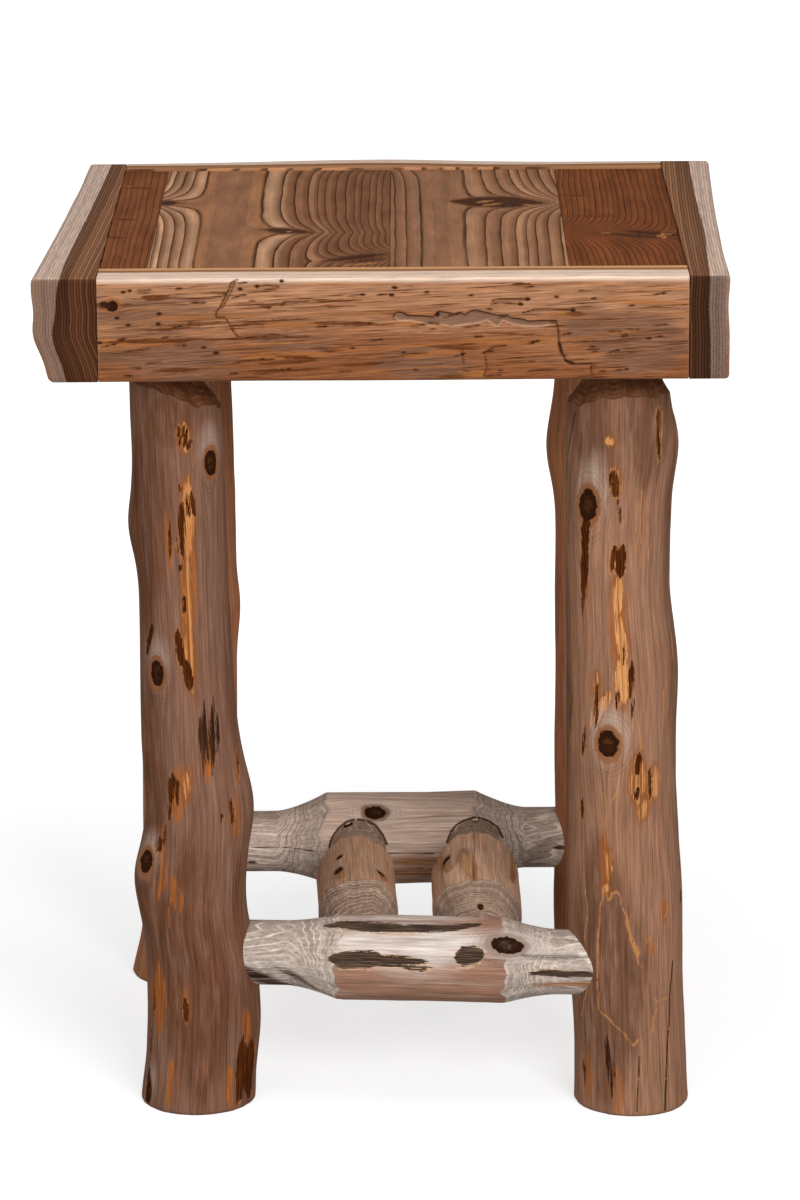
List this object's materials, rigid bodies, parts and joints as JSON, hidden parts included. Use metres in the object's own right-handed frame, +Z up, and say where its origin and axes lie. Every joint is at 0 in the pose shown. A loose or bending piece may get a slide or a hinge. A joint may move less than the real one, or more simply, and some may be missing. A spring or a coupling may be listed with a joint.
{
  "type": "nightstand",
  "caption": "Rustic log nightstand: a plank top in a frame of live-edged slab rails, on tapered log legs joined by a low rack of log stretchers and rungs.",
  "frame": {"origin": "on the floor, under the middle of the top's bounding box", "axes": "+Z up, the front towards -Y, +X to the right seen from the front"},
  "size_m": [0.5098, 0.4644, 0.65],
  "materials": {
    "slab_wood": "oiled live-edge slab",
    "plank_wood": "oiled plank, sanded smooth",
    "leg_wood": "weathered peeled log under a clear oil",
    "rack_wood": "weathered peeled log with shaved ends",
    "lumber": "plain planed softwood",
    "screw_steel": "zinc-plated steel"
  },
  "bodies": {
    "root": {"narrow_plank": "plank_wood", "broad_plank": "plank_wood", "middle_plank": "plank_wood", "right_plank": "plank_wood", "front_rail": "slab_wood", "rear_rail": "slab_wood", "left_rail": "slab_wood", "right_rail": "slab_wood", "front_bearer": "lumber", "rear_bearer": "lumber", "left_cleat": "lumber", "right_cleat": "lumber", "front_left_leg": "leg_wood", "front_right_leg": "leg_wood", "rear_left_leg": "leg_wood", "rear_right_leg": "leg_wood", "front_stretcher": "rack_wood", "rear_stretcher": "rack_wood", "left_rung": "rack_wood", "right_rung": "rack_wood", "front_plank_screw_1": "screw_steel", "front_plank_screw_2": "screw_steel", "front_plank_screw_3": "screw_steel", "front_plank_screw_4": "screw_steel", "rear_plank_screw_1": "screw_steel", "rear_plank_screw_2": "screw_steel", "rear_plank_screw_3": "screw_steel", "rear_plank_screw_4": "screw_steel", "front_rail_screw_1": "screw_steel", "front_rail_screw_2": "screw_steel", "front_rail_screw_3": "screw_steel", "rear_rail_screw_1": "screw_steel", "rear_rail_screw_2": "screw_steel", "rear_rail_screw_3": "screw_steel", "left_rail_screw_1": "screw_steel", "left_rail_screw_2": "screw_steel", "right_rail_screw_1": "screw_steel", "right_rail_screw_2": "screw_steel", "left_plank_screw_1": "screw_steel", "left_plank_screw_2": "screw_steel", "right_plank_screw_1": "screw_steel", "right_plank_screw_2": "screw_steel"}
  },
  "joints": []
}
